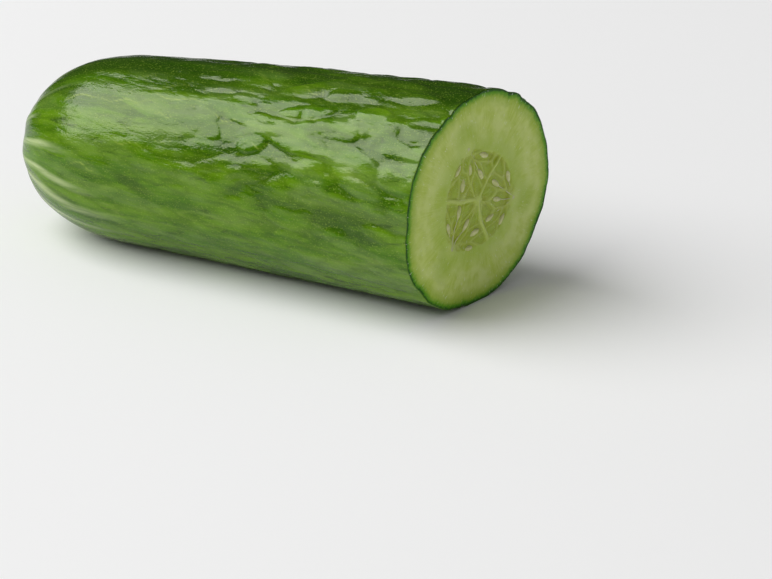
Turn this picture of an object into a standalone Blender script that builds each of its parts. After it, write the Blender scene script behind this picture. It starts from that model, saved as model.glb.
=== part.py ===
"""A cut cucumber lying on its side: the blossom-end half, left whole after slices were taken off it.

Metres, +Z up. The fruit lies along X with its rounded blossom end at -X and its cut face at +X.
The origin is on the table, under the middle of the fruit's own box.
"""
import math

import bmesh
import bpy
from mathutils import Matrix, Vector

# Driving dimensions of the fruit
LENGTH = 0.1132            # from the blossom tip to the middle of the cut face, along the centre line
CUT_RADIUS = 0.0250        # half the width of the cut face
TIP_RADIUS = 0.0205        # what the body's taper comes down to at the blossom end
FULLNESS = 0.25            # how far the taper bows outwards, 0 for a straight cone
DOME_LENGTH = 0.0340       # the stretch over which the blossom end rounds off
DOME_POWER = 2.8           # above 2 is blunter than an ellipse
BEND_RADIUS = 1.20         # the fruit grew very slightly curved, in the plane of the table
REST_DEPTH = 0.0005        # how far the underside is pressed flat where it lies

# The knife cut, as angles away from a square cut
CUT_YAW = math.radians(12.3)
CUT_LEAN = math.radians(0.5)

# The skin's own relief: (number of lobes round the fruit, height, place of the first crest)
LOBES = ((3, 0.00020, 0.4), (7, 0.00008, 1.1), (10, 0.00007, 2.3), (23, 0.00003, 0.9))
LOBE_FADE = 0.022          # lobes run out over this length towards the blossom tip

# The blossom scar: a dry button in a shallow dimple
DIMPLE_DEPTH = 0.0009
DIMPLE_RADIUS = 0.0050
SCAR_HEIGHT = 0.0008
SCAR_RADIUS = 0.0019

# How finely the skin is divided
AROUND = 80
DOME_RINGS = 14
BODY_RINGS = 15
NEWTON_STEPS = 6


def clear_scene():
    for item in list(bpy.data.objects):
        bpy.data.objects.remove(item, do_unlink=True)


def smoothstep(value):
    value = min(max(value, 0.0), 1.0)
    return value * value * (3.0 - 2.0 * value)


def heading(along):
    """Angle of the centre line from +X, turning towards -Y, at a distance from the blossom tip."""
    return (along - LENGTH / 2.0) / BEND_RADIUS


def centre_line(along):
    """Point of the arc that the middle of the fruit follows, at table height."""
    turn = heading(along)
    return Vector((BEND_RADIUS * math.sin(turn), BEND_RADIUS * (math.cos(turn) - 1.0), 0.0))


def body_radius(along):
    """The slightly bowed taper, before the blossom end rounds it off."""
    share = along / LENGTH
    return TIP_RADIUS + (CUT_RADIUS - TIP_RADIUS) * share * (1.0 + FULLNESS * (1.0 - share))


def skin_radius(along, angle):
    rounding = 1.0 - min(along / DOME_LENGTH, 1.0)
    radius = body_radius(along) * math.sqrt(1.0 - rounding ** DOME_POWER)
    relief = sum(height * math.cos(count * angle + start) for count, height, start in LOBES)
    return radius + relief * smoothstep(along / LOBE_FADE)


def scar_offset(radius):
    """How far the skin stands out of the rounded end, along the centre line."""
    dimple = DIMPLE_DEPTH * math.exp(-(radius / DIMPLE_RADIUS) ** 2)
    button = SCAR_HEIGHT * (1.0 - smoothstep(radius / SCAR_RADIUS - 0.5))
    return button - dimple


def skin_point(along, angle):
    """A point of the skin. Angle 0 faces away from the bend's inside, a quarter turn on is the top."""
    turn = heading(along)
    forward = Vector((math.cos(turn), -math.sin(turn), 0.0))
    side = Vector((math.sin(turn), math.cos(turn), 0.0))
    radius = skin_radius(along, angle)
    point = centre_line(along) - forward * scar_offset(radius)
    point += side * (radius * math.cos(angle))
    point.z = body_radius(along) - REST_DEPTH + radius * math.sin(angle)
    point.z = max(point.z, 0.0)
    return point


def cut_plane():
    """A point of the knife cut, and its normal, which faces away from the fruit."""
    turn = heading(LENGTH) + CUT_YAW
    normal = Vector((math.cos(turn), -math.sin(turn), 0.0)) * math.cos(CUT_LEAN)
    normal.z = math.sin(CUT_LEAN)
    point = centre_line(LENGTH)
    point.z = body_radius(LENGTH)
    return point, normal


def cut_distance(angle):
    """Distance from the blossom tip at which the line of skin at this angle meets the knife cut."""
    place, normal = cut_plane()
    along = LENGTH
    for _ in range(NEWTON_STEPS):
        along -= (skin_point(along, angle) - place).dot(normal)
    return along


def ring_distances():
    """Distances from the blossom tip of the rings of skin, closer together where the end rounds off."""
    dome = [DOME_LENGTH * (1.0 - math.cos(math.pi / 2.0 * (ring + 1) / DOME_RINGS))
            for ring in range(DOME_RINGS)]
    step = (LENGTH - DOME_LENGTH) / BODY_RINGS
    return dome + [DOME_LENGTH + step * (ring + 1) for ring in range(BODY_RINGS)]


def add_skin(mesh):
    """Rings of skin from the blossom tip to the knife cut. Returns the last ring, on the cut."""
    angles = [2.0 * math.pi * step / AROUND for step in range(AROUND)]
    overrun = [cut_distance(angle) - LENGTH for angle in angles]
    rings = []
    for along in ring_distances():
        share = smoothstep((along - DOME_LENGTH) / (LENGTH - DOME_LENGTH))
        rings.append([mesh.verts.new(skin_point(along + share * extra, angle))
                      for angle, extra in zip(angles, overrun)])
    tip = mesh.verts.new(skin_point(0.0, 0.0))
    for step in range(AROUND):
        after = (step + 1) % AROUND
        mesh.faces.new((tip, rings[0][after], rings[0][step]))
        for near, far in zip(rings, rings[1:]):
            mesh.faces.new((near[step], near[after], far[after], far[step]))
    return rings[-1]


def add_cut_face(mesh, rim):
    """One flat face across the fruit, true to the knife's plane."""
    place, normal = cut_plane()
    for vertex in rim:
        vertex.co -= normal * (vertex.co - place).dot(normal)
    mesh.faces.new(rim)


def move_to_origin(mesh):
    """Puts the middle of the fruit's box over the origin, and its resting face on the table."""
    lowest = [min(vertex.co[axis] for vertex in mesh.verts) for axis in range(3)]
    highest = [max(vertex.co[axis] for vertex in mesh.verts) for axis in range(3)]
    shift = Vector((-(lowest[0] + highest[0]) / 2.0, -(lowest[1] + highest[1]) / 2.0, -lowest[2]))
    bmesh.ops.transform(mesh, matrix=Matrix.Translation(shift), verts=mesh.verts)


def skin_material():
    material = bpy.data.materials.new("cucumber_skin")
    material.use_nodes = True
    shader = material.node_tree.nodes["Principled BSDF"]
    shader.inputs["Base Color"].default_value = (0.035, 0.130, 0.010, 1.0)
    shader.inputs["Roughness"].default_value = 0.25
    shader.inputs["Metallic"].default_value = 0.0
    return material


def build_cucumber():
    mesh = bmesh.new()
    rim = add_skin(mesh)
    add_cut_face(mesh, rim)
    move_to_origin(mesh)
    bmesh.ops.recalc_face_normals(mesh, faces=mesh.faces)
    data = bpy.data.meshes.new("cucumber")
    mesh.to_mesh(data)
    mesh.free()
    data.shade_smooth()
    data.set_sharp_from_angle(angle=math.radians(40.0))
    data.materials.append(skin_material())
    fruit = bpy.data.objects.new("cucumber", data)
    bpy.context.scene.collection.objects.link(fruit)


clear_scene()
build_cucumber()
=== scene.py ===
"""The looks of a cut cucumber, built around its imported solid.

The blossom-end half of a fresh cucumber lies on a pale floor. Its skin is a fine mesh with ridges,
blisters, furrows and a dry blossom scar. Its knife-cut face is a second fine mesh with sunken seed gel,
raised membranes and threads, and the wet seeds are a third. Metres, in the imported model's own frame.
"""

import math

import bmesh
import bpy
import numpy as np
from mathutils import Matrix, Vector


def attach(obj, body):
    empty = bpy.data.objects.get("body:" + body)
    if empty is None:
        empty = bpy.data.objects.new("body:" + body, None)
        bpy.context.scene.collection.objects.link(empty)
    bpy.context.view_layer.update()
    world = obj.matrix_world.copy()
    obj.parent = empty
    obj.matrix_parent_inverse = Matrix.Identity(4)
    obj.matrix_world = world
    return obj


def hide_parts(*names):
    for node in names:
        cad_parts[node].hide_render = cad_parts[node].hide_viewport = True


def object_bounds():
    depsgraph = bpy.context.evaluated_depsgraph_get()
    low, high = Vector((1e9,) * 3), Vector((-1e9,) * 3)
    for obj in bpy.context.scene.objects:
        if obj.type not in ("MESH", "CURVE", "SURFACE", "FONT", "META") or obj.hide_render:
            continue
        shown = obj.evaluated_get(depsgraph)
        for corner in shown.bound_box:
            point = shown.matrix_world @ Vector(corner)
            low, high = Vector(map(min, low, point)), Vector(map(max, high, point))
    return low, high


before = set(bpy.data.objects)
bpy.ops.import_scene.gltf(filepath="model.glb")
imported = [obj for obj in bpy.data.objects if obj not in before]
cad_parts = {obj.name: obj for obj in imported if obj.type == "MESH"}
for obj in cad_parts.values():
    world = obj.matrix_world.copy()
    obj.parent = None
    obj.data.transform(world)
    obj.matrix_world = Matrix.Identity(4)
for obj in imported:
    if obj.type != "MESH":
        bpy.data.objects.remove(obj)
cad_low, cad_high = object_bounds()

# ---------------------------------------------------------------- driving dimensions, as in the solid
LENGTH = 0.1132            # from the blossom tip to the middle of the cut face, along the centre line
CUT_RADIUS = 0.0250
TIP_RADIUS = 0.0205
FULLNESS = 0.25
DOME_LENGTH = 0.0340
DOME_POWER = 2.8
BEND_RADIUS = 1.20
REST_DEPTH = 0.0005
CUT_YAW = math.radians(12.3)
CUT_LEAN = math.radians(0.5)
LOBES = ((3, 0.00020, 0.4), (7, 0.00008, 1.1), (10, 0.00007, 2.3), (23, 0.00003, 0.9))
LOBE_FADE = 0.022
DIMPLE_DEPTH = 0.0009
DIMPLE_RADIUS = 0.0050
SCAR_HEIGHT = 0.0008
SCAR_RADIUS = 0.0019
MILLIMETRE = 0.001

# How finely the surfaces are divided
AROUND = 448
DOME_RINGS = 84
BODY_RINGS = 140
FACE_RINGS = 92
NEWTON_STEPS = 6

# Random fields are drawn on an even map of the skin, unrolled
MAP_ROWS = 512
MAP_COLUMNS = 640
MAP_LENGTH = 0.128
ROW_STEP = MAP_LENGTH / MAP_ROWS
GIRTH = 2.0 * math.pi * CUT_RADIUS
COLUMN_STEP = GIRTH / MAP_COLUMNS


# ---------------------------------------------------------------- small helpers
def smoothstep(value):
    value = np.clip(value, 0.0, 1.0)
    return value * value * (3.0 - 2.0 * value)


def bell(value):
    """1 at 0, falling smoothly to 0 at 1 and beyond."""
    return (1.0 - np.clip(value, 0.0, 1.0) ** 2) ** 2


def wrapped(angle):
    """The same angle between -pi and pi."""
    return (angle + math.pi) % (2.0 * math.pi) - math.pi


def random_field(rng, rows, columns, row_size, column_size):
    """An even random field that repeats at its edges, with mean 0 and spread 1.

    row_size and column_size are the sizes of its soft patches, in steps of the map.
    """
    waves = np.fft.rfft2(rng.standard_normal((rows, columns)))
    down = np.fft.fftfreq(rows)[:, None] * row_size
    across = np.fft.rfftfreq(columns)[None, :] * column_size
    soft = np.fft.irfft2(waves * np.exp(-2.0 * math.pi ** 2 * (down ** 2 + across ** 2)), s=(rows, columns))
    soft -= soft.mean()
    return soft / soft.std()


def skin_field(rng, length_size, width_size):
    """A random field over the unrolled skin, its patches measured in metres along and around."""
    return random_field(rng, MAP_ROWS, MAP_COLUMNS, length_size / ROW_STEP, width_size / COLUMN_STEP)


def sample(field, along, angle):
    """Reads a skin field at distances from the blossom tip and angles round the fruit."""
    rows, columns = field.shape
    row = np.clip(along / MAP_LENGTH, 0.0, 0.999) * (rows - 1)
    column = (angle / (2.0 * math.pi) % 1.0) * columns
    row_0, column_0 = np.floor(row).astype(int), np.floor(column).astype(int) % columns
    row_1, column_1 = np.minimum(row_0 + 1, rows - 1), (column_0 + 1) % columns
    down, across = row - row_0, column - np.floor(column)
    near = field[row_0, column_0] * (1.0 - across) + field[row_0, column_1] * across
    far = field[row_1, column_0] * (1.0 - across) + field[row_1, column_1] * across
    return near * (1.0 - down) + far * down


# ---------------------------------------------------------------- the fruit's smooth form, as in the solid
def heading(along):
    return (along - LENGTH / 2.0) / BEND_RADIUS


def body_radius(along):
    share = along / LENGTH
    return TIP_RADIUS + (CUT_RADIUS - TIP_RADIUS) * share * (1.0 + FULLNESS * (1.0 - share))


def smooth_radius(along, angle):
    rounding = np.clip(1.0 - along / DOME_LENGTH, 0.0, 1.0)
    relief = sum(height * np.cos(count * angle + start) for count, height, start in LOBES)
    dome = np.sqrt(1.0 - rounding ** DOME_POWER)
    return body_radius(along) * dome + relief * smoothstep(along / LOBE_FADE)


def scar_offset(radius):
    dimple = DIMPLE_DEPTH * np.exp(-(radius / DIMPLE_RADIUS) ** 2)
    return SCAR_HEIGHT * (1.0 - smoothstep(radius / SCAR_RADIUS - 0.5)) - dimple


def skin_points(along, angle, relief=0.0):
    """Points of the skin. Angle 0 is the +Y side, a quarter turn on is the top."""
    turn = heading(along)
    radius = smooth_radius(along, angle) + relief
    out = scar_offset(radius)
    across = radius * np.cos(angle)
    x = BEND_RADIUS * np.sin(turn) - np.cos(turn) * out + np.sin(turn) * across
    y = BEND_RADIUS * (np.cos(turn) - 1.0) + np.sin(turn) * out + np.cos(turn) * across
    z = body_radius(along) - REST_DEPTH + radius * np.sin(angle)
    return np.stack([x, y, np.maximum(z, 0.0)], axis=-1)


def cut_plane():
    turn = heading(LENGTH) + CUT_YAW
    level = math.cos(CUT_LEAN)
    normal = np.array([math.cos(turn) * level, -math.sin(turn) * level, math.sin(CUT_LEAN)])
    middle = heading(LENGTH)
    place = np.array([BEND_RADIUS * math.sin(middle), BEND_RADIUS * (math.cos(middle) - 1.0),
                      body_radius(LENGTH)])
    return place, normal


def cut_distances(angle):
    """Distance from the blossom tip at which each line of skin meets the knife cut."""
    place, normal = cut_plane()
    along = np.full(angle.shape, LENGTH)
    for _ in range(NEWTON_STEPS):
        along = along - (skin_points(along, angle) - place) @ normal
    return along


def skin_grid():
    """Distances and angles of the skin's rings and columns, out to the knife cut."""
    angles = np.arange(AROUND) * 2.0 * math.pi / AROUND
    dome = DOME_LENGTH * (1.0 - np.cos(math.pi / 2.0 * np.arange(1, DOME_RINGS + 1) / DOME_RINGS))
    body = DOME_LENGTH + (LENGTH - DOME_LENGTH) * np.arange(1, BODY_RINGS + 1) / BODY_RINGS
    rows = np.concatenate([dome, body])[:, None]
    share = smoothstep((rows - DOME_LENGTH) / (LENGTH - DOME_LENGTH))
    along = rows + share * (cut_distances(angles) - LENGTH)[None, :]
    return along, np.broadcast_to(angles, along.shape)


# ---------------------------------------------------------------- the skin's relief
# Blisters and furrows: distance from the tip, angle in degrees, half length, half width, height
MARKS = (
    (99.0, 128, 3.4, 3.2, 0.42), (90.5, 121, 5.0, 3.0, 0.30), (82.0, 131, 6.0, 3.6, 0.30),
    (83.0, 147, 6.5, 3.4, 0.28), (96.5, 146, 5.5, 3.2, 0.24), (75.0, 118, 6.5, 2.2, 0.22),
    (68.0, 139, 7.5, 3.0, 0.20), (57.0, 128, 8.0, 2.6, 0.12), (104.0, 118, 4.0, 2.6, 0.26),
    (103.0, 103, 5.5, 2.2, 0.22), (90.0, 102, 6.5, 2.2, 0.20), (64.0, 163, 4.5, 1.5, 0.16),
    (52.0, 166, 3.4, 1.5, 0.18), (84.0, 164, 4.8, 1.5, 0.20), (94.0, 168, 3.2, 1.4, 0.16),
    (77.0, 126, 1.6, 3.4, -0.34), (87.0, 139, 5.0, 1.2, -0.22), (94.5, 134, 1.5, 2.8, -0.24),
    (60.0, 121, 5.5, 1.2, -0.12), (71.0, 129, 4.5, 1.1, -0.14), (100.0, 137, 4.0, 1.0, -0.20),
)
# Swellings strewn over the skin: how many, and the ranges of their half lengths and half widths
BLISTERS = (640, (0.0032, 0.0078), (0.0018, 0.0036))
PIMPLES = (1300, (0.0012, 0.0030), (0.0007, 0.0014))
BLISTER_HEIGHT = 0.00066
PIMPLE_HEIGHT = 0.00013
BROAD_HEIGHT = 0.00009     # of each random field, per unit of its spread
WRINKLE_HEIGHT = 0.000068
KNOB_HEIGHT = 0.000062
GRAIN_HEIGHT = 0.000012
WART_HEIGHT = 0.0001
WART_RADIUS = 0.0011
PIT_RADIUS = 0.0004
SUNNY_SIDE = math.radians(120)
WRINKLE_SLANT = 8.0        # radians round the fruit for each metre along it
SCAR_COUNT = 26
FOLDS = ((136, 1.6, 0.40), (158, 2.0, -0.32), (186, 2.2, 0.30), (205, 1.8, -0.34), (228, 2.4, 0.34),
         (252, 2.0, -0.26), (285, 2.2, 0.26), (318, 2.0, -0.30), (350, 2.4, 0.30), (22, 2.0, -0.26),
         (52, 2.2, 0.30), (84, 2.0, -0.30), (112, 1.7, -0.30))


def strength(along):
    """How rough the skin is: smooth at the blossom end, most blistered towards the cut."""
    return 0.14 + 0.86 * smoothstep((along - 0.028) / 0.048)


def blister_share(angle):
    """The blisters stand highest on the side that grew towards the sun."""
    return 0.40 + 0.60 * bell(np.abs(wrapped(angle - SUNNY_SIDE)) / math.radians(105))


def mark_relief(along, angle):
    height = np.zeros(along.shape)
    for place, degrees, half_length, half_width, rise in MARKS:
        lengthwise = (along - place * MILLIMETRE) / (half_length * MILLIMETRE)
        widthwise = wrapped(angle - math.radians(degrees)) * body_radius(along) / (half_width * MILLIMETRE)
        height += rise * MILLIMETRE * bell(np.hypot(lengthwise, widthwise))
    return height


def swelling_field(seed, count, half_lengths, half_widths):
    """Flat-topped swellings that meet in creases, over the unrolled skin. Heights run from 0 to 1."""
    rng = np.random.default_rng(seed)
    rows = np.arange(MAP_ROWS) * ROW_STEP
    columns = np.arange(MAP_COLUMNS) * COLUMN_STEP
    top = np.zeros((MAP_ROWS, MAP_COLUMNS))
    for _ in range(count):
        place = rng.uniform(0.010, MAP_LENGTH)
        across = rng.uniform(0.0, GIRTH)
        half_length = rng.uniform(*half_lengths)
        half_width = rng.uniform(*half_widths)
        lean = rng.uniform(-0.30, 0.30)
        height = rng.uniform(0.55, 1.0)
        near = np.abs(rows - place) < half_length
        lengthwise = rows[near, None] - place
        widthwise = (columns - across + GIRTH / 2.0) % GIRTH - GIRTH / 2.0 + lean * lengthwise
        swell = 1.0 - (lengthwise / half_length) ** 2 - (widthwise / half_width) ** 2
        top[near] = np.maximum(top[near], height * np.sqrt(np.clip(swell, 0.0, 1.0)))
    return top


def fold_relief(along, angle):
    """Puckers that run out from the blossom scar."""
    height = np.zeros(along.shape)
    for degrees, half_width, rise in FOLDS:
        radius = np.maximum(smooth_radius(along, angle), 0.001)
        widthwise = wrapped(angle - math.radians(degrees)) * radius / (half_width * MILLIMETRE)
        lengthwise = bell((along - 0.0018) / 0.0120) * smoothstep(along / 0.0006)
        height += rise * MILLIMETRE * bell(np.abs(widthwise)) * lengthwise
    return height


def spine_scars():
    """Places of the small warts that the fruit's spines leave, as distance and angle."""
    rng = np.random.default_rng(5)
    return [(rng.uniform(0.015, 0.108), rng.uniform(0.0, 2.0 * math.pi)) for _ in range(SCAR_COUNT)]


def wart_relief(along, angle):
    height = np.zeros(along.shape)
    for place, turn in spine_scars():
        far = np.hypot(along - place, wrapped(angle - turn) * body_radius(along))
        height += WART_HEIGHT * (bell(far / WART_RADIUS) - bell(far / PIT_RADIUS))
    return height


def wrinkle_field():
    """One field gives the wrinkles their height and their painted shade and sheen."""
    return skin_field(np.random.default_rng(4), 0.0042, 0.0012)


def skin_relief(along, angle, blisters):
    rng = np.random.default_rng(3)
    broad = sample(skin_field(rng, 0.0120, 0.0045), along, angle)
    grain = sample(skin_field(rng, 0.0012, 0.0006), along, angle)
    knobs = sample(skin_field(rng, 0.0026, 0.0016), along, angle)
    wrinkles = sample(wrinkle_field(), along, angle - WRINKLE_SLANT * along)
    pimples = sample(swelling_field(12, *PIMPLES), along, angle)
    rough = strength(along)
    relief = BROAD_HEIGHT * broad * (0.4 + 0.6 * rough)
    relief += WRINKLE_HEIGHT * wrinkles * (0.3 + 0.7 * rough)
    relief += (GRAIN_HEIGHT * grain + KNOB_HEIGHT * knobs) * rough
    relief += BLISTER_HEIGHT * rough * blister_share(angle) * (blisters - 0.6)
    relief += PIMPLE_HEIGHT * (0.35 + 0.65 * rough) * (pimples - 0.5)
    relief += mark_relief(along, angle) + wart_relief(along, angle)
    return relief * smoothstep(along / 0.010) + fold_relief(along, angle)


# ---------------------------------------------------------------- mesh making
def make_object(name, points, faces, attributes, uvs, material):
    """A smooth-shaded mesh object. attributes maps a name to one number or one vector for each point."""
    data = bpy.data.meshes.new(name)
    data.from_pydata(points.tolist(), [], faces)
    for key, values in attributes.items():
        kind = "FLOAT_VECTOR" if values.ndim == 2 else "FLOAT"
        layer = data.attributes.new(key, kind, "POINT")
        layer.data.foreach_set("vector" if values.ndim == 2 else "value", values.astype(np.float32).ravel())
    if uvs is not None:
        layer = data.uv_layers.new(name="OFBake")
        layer.data.foreach_set("uv", np.asarray(uvs, dtype=np.float32).ravel())
    data.materials.append(material)
    data.shade_smooth()
    data.update()
    made = bpy.data.objects.new(name, data)
    bpy.context.scene.collection.objects.link(made)
    return made


def grid_faces(rows, columns):
    """Quads of a grid whose columns close into a ring, and each quad's corners as (row, column)."""
    row, column = np.meshgrid(np.arange(rows - 1), np.arange(columns), indexing="ij")
    row, column = row.ravel(), column.ravel()
    corners = [(row, column), (row, column + 1), (row + 1, column + 1), (row + 1, column)]
    faces = np.stack([r * columns + c % columns for r, c in corners], axis=1)
    return faces, np.stack([np.stack([r, c], axis=1) for r, c in corners], axis=1)


# Near the cut the skin settles onto the knife's plane: from this share of the length, over this one
SETTLE_FROM = 0.85
SETTLE_OVER = 0.13
EDGE_RINGS = 4
EDGE_RADIUS = 0.00016      # the knife's edge on the skin is very slightly rounded


def edge_rings(rim, normal):
    """Rings that turn the skin in over the edge of the cut."""
    inward = rim.mean(axis=0) - rim
    inward /= np.linalg.norm(inward, axis=1, keepdims=True)
    rings = []
    for ring in range(EDGE_RINGS):
        turn = math.pi / 2.0 * ring / (EDGE_RINGS - 1)
        drop = EDGE_RADIUS * (1.0 - math.sin(turn))
        rings.append(rim + inward * EDGE_RADIUS * (1.0 - math.cos(turn)) - normal * drop)
    return np.array(rings)


def build_surfaces():
    """The skin's distances, angles, swellings and points, the cut's normal, and the move to the solid."""
    along, angle = skin_grid()
    smooth = skin_points(along, angle)
    lowest, highest = smooth.reshape(-1, 3).min(axis=0), smooth.reshape(-1, 3).max(axis=0)
    shift = (np.array(cad_low) + np.array(cad_high) - lowest - highest) / 2.0
    shift[2] = cad_low[2] - lowest[2]
    blisters = sample(swelling_field(11, *BLISTERS), along, angle)
    points = skin_points(along, angle, skin_relief(along, angle, blisters)) + shift
    place, normal = cut_plane()
    share = smoothstep((along / LENGTH - SETTLE_FROM) / SETTLE_OVER)[..., None]
    off_plane = ((points[-1] - place - shift) @ normal)[None, :, None] * normal
    points = points - share * off_plane
    edge = edge_rings(points[-1], normal)
    repeat = [-1] * EDGE_RINGS
    points = np.concatenate([points[:-1], edge])
    along = np.concatenate([along[:-1], along[repeat]])
    angle = np.concatenate([angle[:-1], angle[repeat]])
    blisters = np.concatenate([blisters[:-1], blisters[repeat]])
    return along, angle, blisters, points, normal, shift


# ---------------------------------------------------------------- the skin
# Pale stripes that run out from the blossom scar: angle in degrees, width in mm, reach in mm, strength
STRIPES = ((140, 0.9, 10, 0.6), (168, 1.5, 24, 0.9), (190, 1.3, 32, 1.0), (204, 1.8, 38, 0.9),
           (222, 1.4, 36, 1.0), (238, 2.0, 44, 0.8), (258, 1.5, 38, 0.9), (280, 1.7, 32, 0.8),
           (305, 1.5, 28, 0.8), (330, 1.7, 34, 0.9), (355, 1.3, 28, 0.8), (18, 1.6, 32, 0.8),
           (44, 1.4, 24, 0.7), (72, 1.2, 26, 0.7), (98, 1.0, 18, 0.5), (120, 0.9, 20, 0.4))
# Fine dry cracks along the skin: first and last distance in mm, angle in degrees at each, half width in mm
CRACKS = ((13, 27, 131, 126, 0.28), (24, 38, 128, 131, 0.22), (36, 55, 121, 127, 0.26),
          (40, 47, 137, 135, 0.20), (54, 63, 132, 137, 0.24), (66, 72, 149, 147, 0.20),
          (30, 41, 153, 157, 0.18), (20, 29, 171, 174, 0.18), (72, 80, 108, 112, 0.22),
          (28, 44, 236, 230, 0.22), (50, 66, 262, 268, 0.22), (34, 52, 318, 312, 0.24),
          (58, 75, 352, 356, 0.22), (26, 40, 28, 34, 0.22), (62, 78, 62, 58, 0.22))


def crack_mask(along, angle, wander):
    mask = np.zeros(along.shape)
    for first, last, first_degrees, last_degrees, half_width in CRACKS:
        share = (along / MILLIMETRE - first) / (last - first)
        line = np.radians(first_degrees + (last_degrees - first_degrees) * share)
        line = line + 0.030 * np.sin(9.0 * share + first) + 0.012 * wander
        sideways = wrapped(angle - line) * body_radius(along) / (half_width * MILLIMETRE)
        mask = np.maximum(mask, bell(np.abs(sideways)) * bell(np.abs(2.0 * share - 1.0)))
    return mask


def stripe_mask(along, angle, wander):
    mask = np.zeros(along.shape)
    radius = np.maximum(smooth_radius(along, angle), 0.0012)
    for degrees, width, reach, amount in STRIPES:
        drift = wander * 0.0010 * smoothstep(along / 0.012)
        sideways = np.abs(wrapped(angle - math.radians(degrees)) * radius + drift)
        spread = width * MILLIMETRE * (0.35 + 0.65 * smoothstep(along / 0.010))
        fade = 1.0 - smoothstep((along / MILLIMETRE - 0.35 * reach) / (0.65 * reach))
        mask = np.maximum(mask, amount * fade * bell(sideways / spread))
    return mask


def skin_attributes(along, angle, blisters):
    rng = np.random.default_rng(21)
    wander = sample(skin_field(rng, 0.0100, 0.0060), along, angle)
    vein_field = skin_field(rng, 0.0085, 0.0016)
    veins = sample(vein_field, along, angle + 0.05 * wander)
    blotch = sample(skin_field(rng, 0.0075, 0.0019), along, angle)
    broad = sample(skin_field(rng, 0.0160, 0.0070), along, angle)
    top = bell(np.abs(wrapped(angle - math.radians(82))) / math.radians(62))
    ends = 1.0 - smoothstep(along / 0.0030)
    wrinkles = sample(wrinkle_field(), along, angle - WRINKLE_SLANT * along)
    flow = np.stack([CUT_RADIUS * np.cos(angle), CUT_RADIUS * np.sin(angle), along], axis=-1)
    return {
        "flow": flow.reshape(-1, 3),
        "pale": np.maximum(stripe_mask(along, angle, wander), 0.9 * ends).ravel(),
        "vein": (bell(np.abs(veins) / 0.16) * smoothstep((along - 0.006) / 0.02)).ravel(),
        "shade": np.clip(0.85 * top + 0.10 * blotch + 0.10 * broad, 0.0, 1.0).ravel(),
        # swell: the blisters' height, which the skin colour also uses to paint shade into their furrows and
        # light onto their crests
        "swell": (0.7 + (blisters - 0.7) * strength(along) * blister_share(angle)).ravel(),
        # Painted shade in the wrinkles' hollows and painted sheen on their tops
        "wrinkle_shade_sheen": np.clip(0.5 + 0.28 * wrinkles, 0.0, 1.0).ravel(),
        "crack": crack_mask(along, angle, wander).ravel(),
    }


def build_skin(along, angle, blisters, points, material):
    rows = points.shape[0]
    attributes = skin_attributes(along, angle, blisters)
    tip = points[0].mean(axis=0)
    tip_values = {key: values[:AROUND].mean(axis=0, keepdims=True) for key, values in attributes.items()}
    attributes = {key: np.concatenate([values, tip_values[key]]) for key, values in attributes.items()}
    faces, corners = grid_faces(rows, AROUND)
    tip_index = rows * AROUND
    fan = [(tip_index, (column + 1) % AROUND, column) for column in range(AROUND)]
    run = np.concatenate([[0.0], np.cumsum(np.linalg.norm(np.diff(points[:, 0], axis=0), axis=1))])
    run = 0.01 + 0.98 * run / run[-1]
    quad_uvs = np.stack([corners[..., 1] / AROUND, run[corners[..., 0]]], axis=-1).reshape(-1, 2)
    fan_uvs = [[(column + 0.5) / AROUND, 0.0, (column + 1) / AROUND, run[0], column / AROUND, run[0]]
               for column in range(AROUND)]
    uvs = np.concatenate([quad_uvs, np.array(fan_uvs).reshape(-1, 2)])
    everything = np.concatenate([points.reshape(-1, 3), tip[None, :]])
    return make_object("skin", everything, faces.tolist() + fan, attributes, uvs, material)


# ---------------------------------------------------------------- the cut face
# The three seed lobes: where each placenta sits, as an angle in degrees and a share of the radius
PLACENTAS = ((106, 0.55), (226, 0.52), (346, 0.54))
WALL_REACH = 0.44
WALL_WIDTH = 0.030
CORE_REACH = 0.475
GEL_DEPTH = 0.00038
STRAND_HEIGHT = 0.00008
FLESH_GRAIN_HEIGHT = 0.000020
FIBRE_HEIGHT = 0.000022
FACE_MAP_STRETCH = 3.0     # the face reads the skin's map this much faster, so its patches are smaller
SAC_HEIGHT = 0.00032       # each seed swells in its own little sac of gel
# Seeds: lobe, degrees off the line to the middle, distance from the placenta in shares of the radius,
# length and width in mm
SEEDS = (
    (0, -52, 0.22, 3.0, 1.4), (0, -27, 0.33, 3.5, 1.6), (0, -6, 0.22, 2.8, 1.3), (0, 16, 0.35, 3.4, 1.6),
    (0, 44, 0.26, 3.3, 1.5), (1, -58, 0.24, 3.2, 1.4), (1, -33, 0.32, 3.5, 1.6), (1, -4, 0.27, 3.4, 1.6),
    (1, 27, 0.34, 3.3, 1.5), (1, 55, 0.22, 3.0, 1.4), (2, -54, 0.24, 3.2, 1.5), (2, -24, 0.34, 3.4, 1.5),
    (2, 2, 0.25, 3.0, 1.4), (2, 29, 0.35, 3.5, 1.6), (2, 57, 0.23, 3.1, 1.4),
)
# Gel sacs with no seed on show: lobe, degrees, distance
EMPTY_SACS = (
    (0, -74, 0.16), (0, -40, 0.40), (0, 30, 0.40), (0, 66, 0.18), (0, 4, 0.42), (0, -18, 0.16),
    (1, -76, 0.17), (1, -47, 0.40), (1, 12, 0.41), (1, 42, 0.38), (1, 74, 0.17), (1, -16, 0.42),
    (2, -74, 0.17), (2, -40, 0.41), (2, 14, 0.42), (2, 44, 0.40), (2, 74, 0.18), (2, -8, 0.40),
)
SAC_STRETCH = 1.9          # sacs are this much longer than wide, pointing at their placenta


def lobe_frame(lobe):
    """The placenta's place in shares of the radius, and the direction from it to the middle."""
    degrees, reach = PLACENTAS[lobe]
    turn = math.radians(degrees)
    return reach * math.cos(turn), reach * math.sin(turn), turn + math.pi


def segment_distance(x, y, end):
    """Distance from the straight line between the middle of the fruit and end."""
    share = np.clip((x * end[0] + y * end[1]) / (end[0] ** 2 + end[1] ** 2), 0.0, 1.0)
    return np.hypot(x - share * end[0], y - share * end[1])


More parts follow.
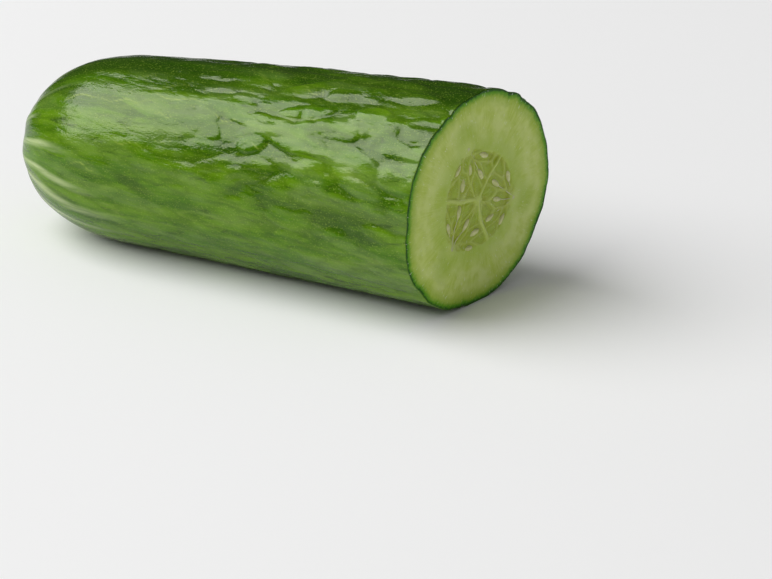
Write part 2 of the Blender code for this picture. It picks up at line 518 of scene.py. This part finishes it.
def sac_field(x, y):
    """Closeness to the nearest gel sac's middle, and how near the wall between two sacs is."""
    nearest = np.full(x.shape, 9.0)
    second = np.full(x.shape, 9.0)
    for lobe, degrees, distance, *_ in SEEDS + EMPTY_SACS:
        px, py, inward = lobe_frame(lobe)
        turn = inward + math.radians(degrees)
        dx = x - px - distance * math.cos(turn)
        dy = y - py - distance * math.sin(turn)
        lengthwise = (dx * math.cos(turn) + dy * math.sin(turn)) / SAC_STRETCH
        far = np.hypot(lengthwise, dy * math.cos(turn) - dx * math.sin(turn))
        second = np.minimum(second, np.maximum(nearest, far))
        nearest = np.minimum(nearest, far)
    return bell(nearest / 0.085), bell((second - nearest) / 0.034)


def face_masks(reach, angle):
    """Masks over the cut face, from the share of the radius and the angle."""
    rng = np.random.default_rng(8)
    outward = reach * CUT_RADIUS * FACE_MAP_STRETCH
    warp = [sample(skin_field(rng, 0.0070, 0.0085), outward, angle) for _ in range(2)]
    inner = smoothstep(reach / 0.25)
    x = reach * np.cos(angle) + 0.013 * warp[0] * inner
    y = reach * np.sin(angle) + 0.013 * warp[1] * inner
    around = np.arctan2(y, x)
    far = np.hypot(x, y)
    wall = bell(far / 0.085)
    knot = np.zeros(x.shape)
    vein = np.zeros(x.shape)
    outline = np.full(x.shape, CORE_REACH)
    for degrees, placenta_reach in PLACENTAS:
        turn = math.radians(degrees)
        px, py = placenta_reach * math.cos(turn), placenta_reach * math.sin(turn)
        outline += (placenta_reach - CORE_REACH) * bell(np.abs(wrapped(around - turn)) / 0.55)
        wall_turn = math.radians(degrees + 60)
        wall_end = (WALL_REACH * math.cos(wall_turn), WALL_REACH * math.sin(wall_turn))
        wall = np.maximum(wall, bell(segment_distance(x, y, wall_end) / WALL_WIDTH))
        knot = np.maximum(knot, bell(np.hypot(x - px, y - py) / 0.13))
        vein = np.maximum(vein, bell(np.hypot(x - 1.26 * px, y - 1.26 * py) / 0.22))
    core = smoothstep((outline - far) / 0.055)
    sac, membrane = sac_field(x, y)
    open_core = core * (1.0 - smoothstep(knot * 1.4)) * (1.0 - wall)
    return {"gel": open_core * (1.0 - 0.55 * membrane), "sac": sac * open_core, "vein": vein, "core": core,
            "strand": np.maximum(core * np.maximum(wall, 0.45 * membrane), knot)}


def build_face(rim, normal, material):
    """The flesh across the cut, out to the skin's last ring."""
    reach = np.linspace(1.0, 0.0, FACE_RINGS + 1)[:-1, None]
    angles = np.arange(AROUND) * 2.0 * math.pi / AROUND
    reach, angle = np.broadcast_arrays(reach, angles[None, :])
    middle = rim.mean(axis=0)
    masks = face_masks(reach, angle)
    rng = np.random.default_rng(14)
    grain = sample(skin_field(rng, 0.0011, 0.0012), reach * CUT_RADIUS * FACE_MAP_STRETCH, angle)
    fibre = sample(skin_field(rng, 0.0080, 0.0010), reach * CUT_RADIUS, angle)
    inner = smoothstep((1.0 - reach) / 0.03)
    height = -GEL_DEPTH * masks["gel"] + SAC_HEIGHT * masks["sac"] + STRAND_HEIGHT * masks["strand"]
    height += inner * (FLESH_GRAIN_HEIGHT * grain + FIBRE_HEIGHT * fibre) * smoothstep(reach / 0.1)
    points = middle + reach[..., None] * (rim - middle)[None] + height[..., None] * normal
    flow = np.stack([reach * np.cos(angle), reach * np.sin(angle), np.zeros(reach.shape)], axis=-1)
    radius = np.linalg.norm(rim - middle, axis=1)[None, :]
    attributes = {key: values.ravel() for key, values in masks.items()}
    attributes["depth"] = ((1.0 - reach) * radius / MILLIMETRE).ravel()
    attributes["fibre"] = fibre.ravel()
    attributes["polar"] = np.stack([np.cos(angle), np.sin(angle), reach], axis=-1).reshape(-1, 3)
    attributes["flow"] = flow.reshape(-1, 3)
    centre_values = {key: values[-AROUND:].mean(axis=0, keepdims=True) for key, values in attributes.items()}
    attributes = {key: np.concatenate([values, centre_values[key]]) for key, values in attributes.items()}
    faces, corners = grid_faces(FACE_RINGS, AROUND)
    last = (FACE_RINGS - 1) * AROUND
    fan = [(last + column, last + (column + 1) % AROUND, FACE_RINGS * AROUND) for column in range(AROUND)]
    everything = np.concatenate([points.reshape(-1, 3), points[-1].mean(axis=0)[None, :]])
    plane_uv = 0.5 + 0.48 * np.concatenate([flow.reshape(-1, 3)[:, :2], [[0.0, 0.0]]])
    order = np.concatenate([faces.ravel(), np.array(fan).ravel()])
    return make_object("cut_face", everything, faces.tolist() + fan, attributes, plane_uv[order], material)


# ---------------------------------------------------------------- the seeds and their threads
SEED_ROWS = 14
SEED_COLUMNS = 18
THREAD_ROWS = 10
THREAD_COLUMNS = 8
SEED_SINK = 0.00022
SEED_THICKNESS = 0.0010
SEED_POINT = 0.46          # a thread meets its seed this share of the seed's length from its middle
THREAD_RADIUS = 0.00015
THREAD_TAPER = 1.0 / 3.0
THREAD_SAG = 0.00020
THREAD_BOW = 0.00025


def seed_shape(length, width, thick):
    """A flat seed, blunt at one end and drawn to a point at the other, which lies towards -X."""
    points = []
    for row in range(SEED_ROWS + 1):
        turn = math.pi * row / SEED_ROWS
        taper = 1.0 - 0.38 * ((1.0 - math.cos(turn - math.pi)) / 2.0) ** 1.6
        for column in range(SEED_COLUMNS):
            side = 2.0 * math.pi * column / SEED_COLUMNS
            round_part = math.sin(turn) * taper
            points.append((-math.cos(turn) * length / 2.0, math.cos(side) * round_part * width / 2.0,
                           math.sin(side) * round_part * thick / 2.0))
    return np.array(points)


def thread_shape(root, tail, across, normal, bow):
    """A fine tube that sags into the gel on its way from a placenta to the point of a seed."""
    points = []
    for row in range(THREAD_ROWS + 1):
        share = row / THREAD_ROWS
        arch = math.sin(math.pi * share)
        here = root + (tail - root) * share - normal * THREAD_SAG * arch ** 2 + across * bow * arch
        thick = THREAD_RADIUS * (1.0 - THREAD_TAPER * share)
        for column in range(THREAD_COLUMNS):
            side = 2.0 * math.pi * column / THREAD_COLUMNS
            points.append(here + thick * (across * math.cos(side) + normal * math.sin(side)))
    return np.array(points)


def build_seeds(rim, normal, material):
    middle = rim.mean(axis=0)
    radius = np.linalg.norm(rim - middle, axis=1).mean()
    up = np.array([0.0, 0.0, 1.0]) - normal * normal[2]
    up /= np.linalg.norm(up)
    right = np.cross(up, normal)
    points, faces, kinds = [], [], []
    count = 0
    rng = np.random.default_rng(30)
    for lobe, degrees, distance, length, width in SEEDS:
        px, py, inward = lobe_frame(lobe)
        turn = inward + math.radians(degrees)
        lean = turn + rng.uniform(-0.12, 0.12)
        along = right * math.cos(lean) + up * math.sin(lean)
        across = np.cross(normal, along)
        tilt = rng.uniform(-0.10, 0.16)
        axis = along * math.cos(tilt) + normal * math.sin(tilt)
        shape = seed_shape(length * MILLIMETRE, width * MILLIMETRE, SEED_THICKNESS)
        root = middle + radius * (right * px + up * py)
        outward = right * math.cos(turn) + up * math.sin(turn)
        place = root + radius * distance * outward - normal * SEED_SINK
        seed = place + shape @ np.stack([axis, across, np.cross(axis, across)])
        tail = place - axis * (length * MILLIMETRE * SEED_POINT)
        thread = thread_shape(root, tail, across, normal, rng.uniform(-THREAD_BOW, THREAD_BOW))
        for made, rows, columns, kind in ((seed, SEED_ROWS, SEED_COLUMNS, 0.0),
                                          (thread, THREAD_ROWS, THREAD_COLUMNS, 1.0)):
            quads, _ = grid_faces(rows + 1, columns)
            faces.extend((quads + count).tolist())
            points.append(made)
            kinds.append(np.full(len(made), kind))
            count += len(made)
    attributes = {"thread": np.concatenate(kinds)}
    return make_object("seeds", np.concatenate(points), faces, attributes, None, material)


# ---------------------------------------------------------------- materials
def new_material(name):
    material = bpy.data.materials.new(name)
    material.use_nodes = True
    return material, material.node_tree, material.node_tree.nodes["Principled BSDF"]


def plug(tree, socket, value):
    """Links a node's output to a socket, or sets the socket to a plain value."""
    if isinstance(value, bpy.types.NodeSocket):
        tree.links.new(value, socket)
    else:
        socket.default_value = value


def attribute(tree, name, output="Fac"):
    made = tree.nodes.new("ShaderNodeAttribute")
    made.attribute_name = name
    return made.outputs[output]


def stretched(tree, vector, scale):
    made = tree.nodes.new("ShaderNodeVectorMath")
    made.operation = "MULTIPLY"
    plug(tree, made.inputs[0], vector)
    made.inputs[1].default_value = scale
    return made.outputs[0]


def noise(tree, vector, scale, detail=2.0, roughness=0.5, distortion=0.0):
    made = tree.nodes.new("ShaderNodeTexNoise")
    plug(tree, made.inputs["Vector"], stretched(tree, vector, scale))
    made.inputs["Scale"].default_value = 1.0
    made.inputs["Detail"].default_value = detail
    made.inputs["Roughness"].default_value = roughness
    made.inputs["Distortion"].default_value = distortion
    return made.outputs["Fac"]


def ramp(tree, value, low, high, low_out=0.0, high_out=1.0):
    made = tree.nodes.new("ShaderNodeMapRange")
    made.interpolation_type = "SMOOTHSTEP"
    plug(tree, made.inputs["Value"], value)
    for name, number in (("From Min", low), ("From Max", high), ("To Min", low_out), ("To Max", high_out)):
        made.inputs[name].default_value = number
    return made.outputs["Result"]


def math_node(tree, operation, first, second=0.0):
    made = tree.nodes.new("ShaderNodeMath")
    made.operation = operation
    plug(tree, made.inputs[0], first)
    plug(tree, made.inputs[1], second)
    return made.outputs[0]


def mix(tree, factor, first, second):
    made = tree.nodes.new("ShaderNodeMix")
    made.data_type = "RGBA"
    plug(tree, made.inputs["Factor"], factor)
    plug(tree, made.inputs[6], first if isinstance(first, bpy.types.NodeSocket) else (*first, 1.0))
    plug(tree, made.inputs[7], second if isinstance(second, bpy.types.NodeSocket) else (*second, 1.0))
    return made.outputs[2]


def slanted(tree, flow):
    """Turns the unrolled skin a little round the fruit as it runs along it, so that wrinkles lie aslant."""
    parts = tree.nodes.new("ShaderNodeSeparateXYZ")
    plug(tree, parts.inputs[0], flow)
    turned = tree.nodes.new("ShaderNodeVectorRotate")
    turned.rotation_type = "Z_AXIS"
    plug(tree, turned.inputs["Vector"], flow)
    plug(tree, turned.inputs["Angle"], math_node(tree, "MULTIPLY", parts.outputs["Z"], -WRINKLE_SLANT))
    return turned.outputs[0]


def rounded_cells(tree, vector, scale):
    """Small domes that meet in creases, 0 at the creases' depth and 1 on top."""
    bent = noise(tree, vector, tuple(0.7 * step for step in scale), 2.0)
    moved = tree.nodes.new("ShaderNodeVectorMath")
    moved.operation = "ADD"
    plug(tree, moved.inputs[0], stretched(tree, vector, scale))
    plug(tree, moved.inputs[1], bent)
    cells = tree.nodes.new("ShaderNodeTexVoronoi")
    cells.feature = "SMOOTH_F1"
    cells.inputs["Smoothness"].default_value = 0.25
    cells.inputs["Scale"].default_value = 1.0
    plug(tree, cells.inputs["Vector"], moved.outputs[0])
    far = cells.outputs["Distance"]
    return math_node(tree, "SUBTRACT", 1.0, math_node(tree, "MULTIPLY", far, far))


def bump(tree, height, distance, strength_value=1.0, normal=None):
    made = tree.nodes.new("ShaderNodeBump")
    made.inputs["Strength"].default_value = strength_value
    made.inputs["Distance"].default_value = distance
    plug(tree, made.inputs["Height"], height)
    if normal is not None:
        plug(tree, made.inputs["Normal"], normal)
    return made.outputs["Normal"]


def skin_material():
    material, tree, shader = new_material("cucumber_skin")
    flow = attribute(tree, "flow", "Vector")
    dark, mid = (0.019, 0.060, 0.002), (0.062, 0.175, 0.001)
    light, yellow, pale = (0.130, 0.270, 0.006), (0.300, 0.420, 0.060), (0.460, 0.560, 0.260)
    # A pale green painted as sheen, where light would catch the tops of the wrinkles
    painted_sheen = (0.185, 0.290, 0.070)
    broad = noise(tree, flow, (260.0, 260.0, 45.0), 3.0, 0.55, 0.4)
    colour = mix(tree, ramp(tree, broad, 0.34, 0.66), mid, light)
    # Painted shade in the furrows between blisters and painted light on their crests
    painted_furrow_shade = ramp(tree, attribute(tree, "swell"), 0.10, 0.72, 0.45, 0.0)
    colour = mix(tree, painted_furrow_shade, colour, dark)
    painted_crest_light = ramp(tree, attribute(tree, "swell"), 0.60, 1.05, 0.0, 0.12)
    colour = mix(tree, painted_crest_light, colour, light)
    # Painted shade in the wrinkles' hollows, then painted sheen on their tops
    colour = mix(tree, ramp(tree, attribute(tree, "wrinkle_shade_sheen"), 0.10, 0.42, 0.45, 0.0), colour, dark)
    colour = mix(tree, ramp(tree, attribute(tree, "wrinkle_shade_sheen"), 0.60, 0.86, 0.0, 0.36), colour, painted_sheen)
    streak = noise(tree, flow, (950.0, 950.0, 170.0), 4.0, 0.65, 0.6)
    colour = mix(tree, ramp(tree, streak, 0.48, 0.70, 0.0, 0.50), colour, light)
    dash = noise(tree, flow, (480.0, 480.0, 150.0), 3.0, 0.6, 0.8)
    colour = mix(tree, ramp(tree, dash, 0.56, 0.74, 0.0, 0.60), colour, dark)
    wrinkle = rounded_cells(tree, slanted(tree, flow), (560.0, 560.0, 210.0))
    # Painted shade in the small cells' creases and painted sheen on their tops
    colour = mix(tree, ramp(tree, wrinkle, 0.45, 0.85, 0.24, 0.0), colour, dark)
    colour = mix(tree, ramp(tree, wrinkle, 0.86, 1.0, 0.0, 0.14), colour, painted_sheen)
    colour = mix(tree, ramp(tree, attribute(tree, "shade"), 0.05, 0.85, 0.0, 0.90), colour, dark)
    vein_break = ramp(tree, noise(tree, flow, (180.0, 180.0, 60.0), 2.0), 0.45, 0.65)
    vein = math_node(tree, "MULTIPLY", attribute(tree, "vein"), vein_break)
    colour = mix(tree, math_node(tree, "MULTIPLY", vein, 0.20), colour, yellow)
    stripe_break = ramp(tree, noise(tree, flow, (700.0, 700.0, 120.0), 3.0, 0.6), 0.28, 0.62, 0.35, 1.0)
    stripe = math_node(tree, "MULTIPLY", attribute(tree, "pale"), stripe_break)
    colour = mix(tree, stripe, colour, pale)
    colour = mix(tree, math_node(tree, "MULTIPLY", attribute(tree, "crack"), 0.85), colour, yellow)
    speck = noise(tree, flow, (3400.0, 3400.0, 2400.0), 1.0)
    colour = mix(tree, ramp(tree, speck, 0.58, 0.72, 0.0, 0.40), colour, yellow)
    plug(tree, shader.inputs["Base Color"], colour)
    plug(tree, shader.inputs["Roughness"], ramp(tree, broad, 0.3, 0.7, 0.10, 0.17))
    shader.inputs["IOR"].default_value = 1.50
    shader.inputs["Specular Tint"].default_value = (0.97, 1.0, 0.78, 1.0)
    grain = rounded_cells(tree, flow, (1900.0, 1900.0, 1150.0))
    hollow = bump(tree, wrinkle, 0.000085)
    hammered = bump(tree, grain, 0.000022, 1.0, hollow)
    pores = bump(tree, speck, 0.000020, 1.0, hammered)
    plug(tree, shader.inputs["Normal"], bump(tree, streak, 0.000045, 1.0, pores))
    return material


def flesh_material():
    material, tree, shader = new_material("cucumber_flesh")
    flow = attribute(tree, "flow", "Vector")
    rind, green, lime = (0.022, 0.120, 0.002), (0.120, 0.380, 0.006), (0.380, 0.560, 0.045)
    # Flesh and cream are the flesh's own colour with painted shade in them: greener and darker than the
    # flesh shows in full light
    flesh, cream, glint_white = (0.540, 0.690, 0.105), (0.680, 0.800, 0.250), (0.900, 0.940, 0.720)
    gel_tone, deep = (0.430, 0.520, 0.040), (0.290, 0.350, 0.012)
    brush = attribute(tree, "fibre")
    polar = attribute(tree, "polar", "Vector")
    ragged = noise(tree, flow, (30.0, 30.0, 30.0), 3.0, 0.6)
    push = math_node(tree, "MULTIPLY", math_node(tree, "SUBTRACT", ragged, 0.5), 1.3)
    wander = math_node(tree, "ADD", push, math_node(tree, "MULTIPLY", brush, 0.10))
    depth = math_node(tree, "ADD", attribute(tree, "depth"), wander)
    cloud = noise(tree, flow, (5.0, 5.0, 5.0), 3.0, 0.5)
    colour = mix(tree, ramp(tree, cloud, 0.35, 0.65), flesh, cream)
    rays = noise(tree, polar, (34.0, 34.0, 5.0), 3.0, 0.6)
    colour = mix(tree, ramp(tree, rays, 0.42, 0.66, 0.0, 0.55), colour, cream)
    colour = mix(tree, ramp(tree, depth, 7.0, 13.5, 0.0, 0.55), colour, lime)
    colour = mix(tree, ramp(tree, depth, 1.2, 4.2, 0.85, 0.0), colour, lime)
    colour = mix(tree, ramp(tree, depth, 0.5, 1.9, 1.0, 0.0), colour, green)
    colour = mix(tree, ramp(tree, depth, 0.15, 0.70, 1.0, 0.0), colour, rind)
    colour = mix(tree, math_node(tree, "MULTIPLY", attribute(tree, "vein"), 0.55), colour, lime)
    grain = noise(tree, flow, (85.0, 85.0, 85.0), 3.0, 0.65)
    gel_colour = mix(tree, ramp(tree, grain, 0.35, 0.65, 0.0, 0.8), gel_tone, deep)
    colour = mix(tree, ramp(tree, attribute(tree, "core"), 0.0, 1.0, 0.0, 0.45), colour, gel_tone)
    colour = mix(tree, ramp(tree, attribute(tree, "gel"), 0.0, 1.0, 0.0, 0.85), colour, gel_colour)
    colour = mix(tree, math_node(tree, "MULTIPLY", attribute(tree, "sac"), 0.55), colour, lime)
    colour = mix(tree, math_node(tree, "MULTIPLY", attribute(tree, "strand"), 0.50), colour, cream)
    # Painted glints: small white flecks where the wet cut face would catch the light
    painted_glint = noise(tree, polar, (64.0, 64.0, 22.0), 2.0, 0.6)
    colour = mix(tree, ramp(tree, painted_glint, 0.64, 0.76, 0.0, 0.75), colour, glint_white)
    plug(tree, shader.inputs["Base Color"], colour)
    plug(tree, shader.inputs["Roughness"], ramp(tree, attribute(tree, "gel"), 0.0, 0.8, 0.36, 0.12))
    wetness = ramp(tree, attribute(tree, "core"), 0.0, 1.0, 0.20, 0.38)
    plug(tree, shader.inputs["Specular IOR Level"], wetness)
    shader.inputs["Subsurface Weight"].default_value = 0.30
    shader.inputs["Subsurface Radius"].default_value = (0.0028, 0.0034, 0.0010)
    shader.inputs["Subsurface Scale"].default_value = 1.0
    fine = noise(tree, flow, (260.0, 260.0, 260.0), 2.0, 0.6)
    plug(tree, shader.inputs["Normal"], bump(tree, fine, 0.00006, 1.0, bump(tree, grain, 0.00010, 0.6)))
    return material


def seed_material():
    material, tree, shader = new_material("cucumber_seed")
    place = tree.nodes.new("ShaderNodeTexCoord").outputs["Object"]
    mottle = noise(tree, place, (900.0, 900.0, 900.0), 3.0)
    colour = mix(tree, ramp(tree, mottle, 0.3, 0.7), (0.56, 0.60, 0.22), (0.72, 0.74, 0.36))
    threads = math_node(tree, "MULTIPLY", attribute(tree, "thread"), 0.5)
    colour = mix(tree, threads, colour, (0.74, 0.80, 0.44))
    plug(tree, shader.inputs["Base Color"], colour)
    plug(tree, shader.inputs["Roughness"], ramp(tree, mottle, 0.3, 0.7, 0.16, 0.28))
    shader.inputs["Subsurface Weight"].default_value = 0.3
    shader.inputs["Subsurface Radius"].default_value = (0.0010, 0.0012, 0.0005)
    shader.inputs["Subsurface Scale"].default_value = 1.0
    plug(tree, shader.inputs["Normal"], bump(tree, mottle, 0.00004, 0.5))
    return material


def floor_material(name, low_tone, high_tone):
    """A plain pale surface, with a very faint mottle."""
    material, tree, shader = new_material(name)
    place = tree.nodes.new("ShaderNodeTexCoord").outputs["Object"]
    mottle = noise(tree, place, (3.0, 3.0, 3.0), 2.0)
    plug(tree, shader.inputs["Base Color"], mix(tree, mottle, (low_tone,) * 3, (high_tone,) * 3))
    shader.inputs["Roughness"].default_value = 0.9
    shader.inputs["Specular IOR Level"].default_value = 0.1
    return material


# ---------------------------------------------------------------- the studio
FLOOR_RADIUS = 6.0
TABLE_RADIUS = 0.30
FLOOR_SEGMENTS = 64
STAGE_GAP = 0.00002        # between the fruit, the table and the floor, so that none lie in one plane
CAMERA_AZIMUTH = math.radians(27.0)
CAMERA_ELEVATION = math.radians(23.0)
CAMERA_DISTANCE = 0.739
LENS = 150.0               # in mm, as is the sensor
SENSOR_WIDTH = 36.0
AIM_RIGHT = 0.0311         # the fruit sits left of the middle of the picture, and above it
AIM_DOWN = 0.0080
FILL_LIGHT = 0.25          # the surrounding studio as matt surfaces, reflections and the camera get it
REFLECTED_LIGHT = 0.02
SEEN_LIGHT = 0.95
SOFTBOX_DIRECTION = Vector((-0.60, -0.35, 0.72))
SOFTBOX_LONG_SIDE = Vector((0.0, 0.888, 0.459))
SOFTBOX_DISTANCE = 2.8
SOFTBOX_SIZE = (2.95, 2.5)
SOFTBOX_RADIANCE = 3.9
SOFTBOX_RAISE = 0.12       # along its long side, away from the camera


def add_disc(name, radius, level, material):
    mesh = bmesh.new()
    bmesh.ops.create_circle(mesh, cap_ends=True, segments=FLOOR_SEGMENTS, radius=radius)
    bmesh.ops.translate(mesh, verts=mesh.verts, vec=(0.0, 0.0, level))
    data = bpy.data.meshes.new(name)
    mesh.to_mesh(data)
    mesh.free()
    data.materials.append(material)
    disc = bpy.data.objects.new(name, data)
    bpy.context.scene.collection.objects.link(disc)
    return disc


def build_floor():
    """A wide pale floor, and the smaller, dimmer table that the glossy skin reflects."""
    pale = floor_material("studio_floor", 0.94, 0.96)
    dimmer = floor_material("reflected_table", 0.66, 0.70)
    floor = add_disc("floor", FLOOR_RADIUS, cad_low[2] - 2.0 * STAGE_GAP, pale)
    floor.visible_glossy = False
    table = add_disc("table_in_reflections", TABLE_RADIUS, cad_low[2] - STAGE_GAP, dimmer)
    table.visible_camera = False
    table.visible_diffuse = False
    table.visible_shadow = False


def matrix_from(x_axis, y_axis, z_axis, place):
    """The transform whose columns are three axes and a place."""
    made = Matrix.Identity(4)
    for column, axis in enumerate((x_axis, y_axis, z_axis, place)):
        for row in range(3):
            made[row][column] = axis[row]
    return made


def build_camera(target):
    azimuth, elevation = CAMERA_AZIMUTH, CAMERA_ELEVATION
    back = Vector((math.sin(azimuth) * math.cos(elevation), -math.cos(azimuth) * math.cos(elevation),
                   math.sin(elevation)))
    right = Vector((math.cos(azimuth), math.sin(azimuth), 0.0))
    up = back.cross(right)
    data = bpy.data.cameras.new("camera")
    data.lens = LENS
    data.sensor_width = SENSOR_WIDTH
    camera = bpy.data.objects.new("camera", data)
    bpy.context.scene.collection.objects.link(camera)
    place = target + back * CAMERA_DISTANCE
    aim = target + right * AIM_RIGHT - up * AIM_DOWN
    backwards = (place - aim).normalized()
    sideways = up.cross(backwards).normalized()
    camera.matrix_world = matrix_from(sideways, backwards.cross(sideways), backwards, place)
    data.clip_start = 0.01
    data.clip_end = 50.0
    bpy.context.scene.camera = camera


def build_softbox():
    data = bpy.data.lights.new("softbox", "AREA")
    data.shape = "RECTANGLE"
    data.size, data.size_y = SOFTBOX_SIZE
    data.energy = SOFTBOX_RADIANCE * math.pi * data.size * data.size_y
    light = bpy.data.objects.new("softbox", data)
    bpy.context.scene.collection.objects.link(light)
    towards = SOFTBOX_DIRECTION.normalized()
    long_side = (SOFTBOX_LONG_SIDE - towards * SOFTBOX_LONG_SIDE.dot(towards)).normalized()
    short_side = towards.cross(long_side)
    place = towards * SOFTBOX_DISTANCE + long_side * SOFTBOX_RAISE
    light.matrix_world = matrix_from(long_side, short_side, towards, place)


def build_world():
    """Pale for the camera, a soft fill for matt surfaces, and a dark studio in reflections."""
    world = bpy.data.worlds.new("studio")
    world.use_nodes = True
    bpy.context.scene.world = world
    tree = world.node_tree
    tree.nodes.clear()
    paths = tree.nodes.new("ShaderNodeLightPath")
    output = tree.nodes.new("ShaderNodeOutputWorld")
    backgrounds = []
    for level in (FILL_LIGHT, REFLECTED_LIGHT, SEEN_LIGHT):
        background = tree.nodes.new("ShaderNodeBackground")
        background.inputs["Color"].default_value = (1.0, 1.0, 1.0, 1.0)
        background.inputs["Strength"].default_value = level
        backgrounds.append(background)
    fill, reflected, seen = backgrounds
    first = tree.nodes.new("ShaderNodeMixShader")
    tree.links.new(paths.outputs["Is Glossy Ray"], first.inputs[0])
    tree.links.new(fill.outputs[0], first.inputs[1])
    tree.links.new(reflected.outputs[0], first.inputs[2])
    second = tree.nodes.new("ShaderNodeMixShader")
    tree.links.new(paths.outputs["Is Camera Ray"], second.inputs[0])
    tree.links.new(first.outputs[0], second.inputs[1])
    tree.links.new(seen.outputs[0], second.inputs[2])
    tree.links.new(second.outputs[0], output.inputs["Surface"])


# ---------------------------------------------------------------- everything together
along, angle, blisters, points, cut_normal, shift = build_surfaces()
skin = build_skin(along, angle, blisters, points, skin_material())
cut_face = build_face(points[-1], cut_normal, flesh_material())
seeds = build_seeds(points[-1], cut_normal, seed_material())

for piece, slot in ((skin, "skin"), (cut_face, "flesh"), (seeds, "seed")):
    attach(piece, "root")
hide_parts("cucumber")

build_floor()
build_world()
build_softbox()
build_camera(Vector(shift))
bpy.context.scene.view_settings.view_transform = "Standard"
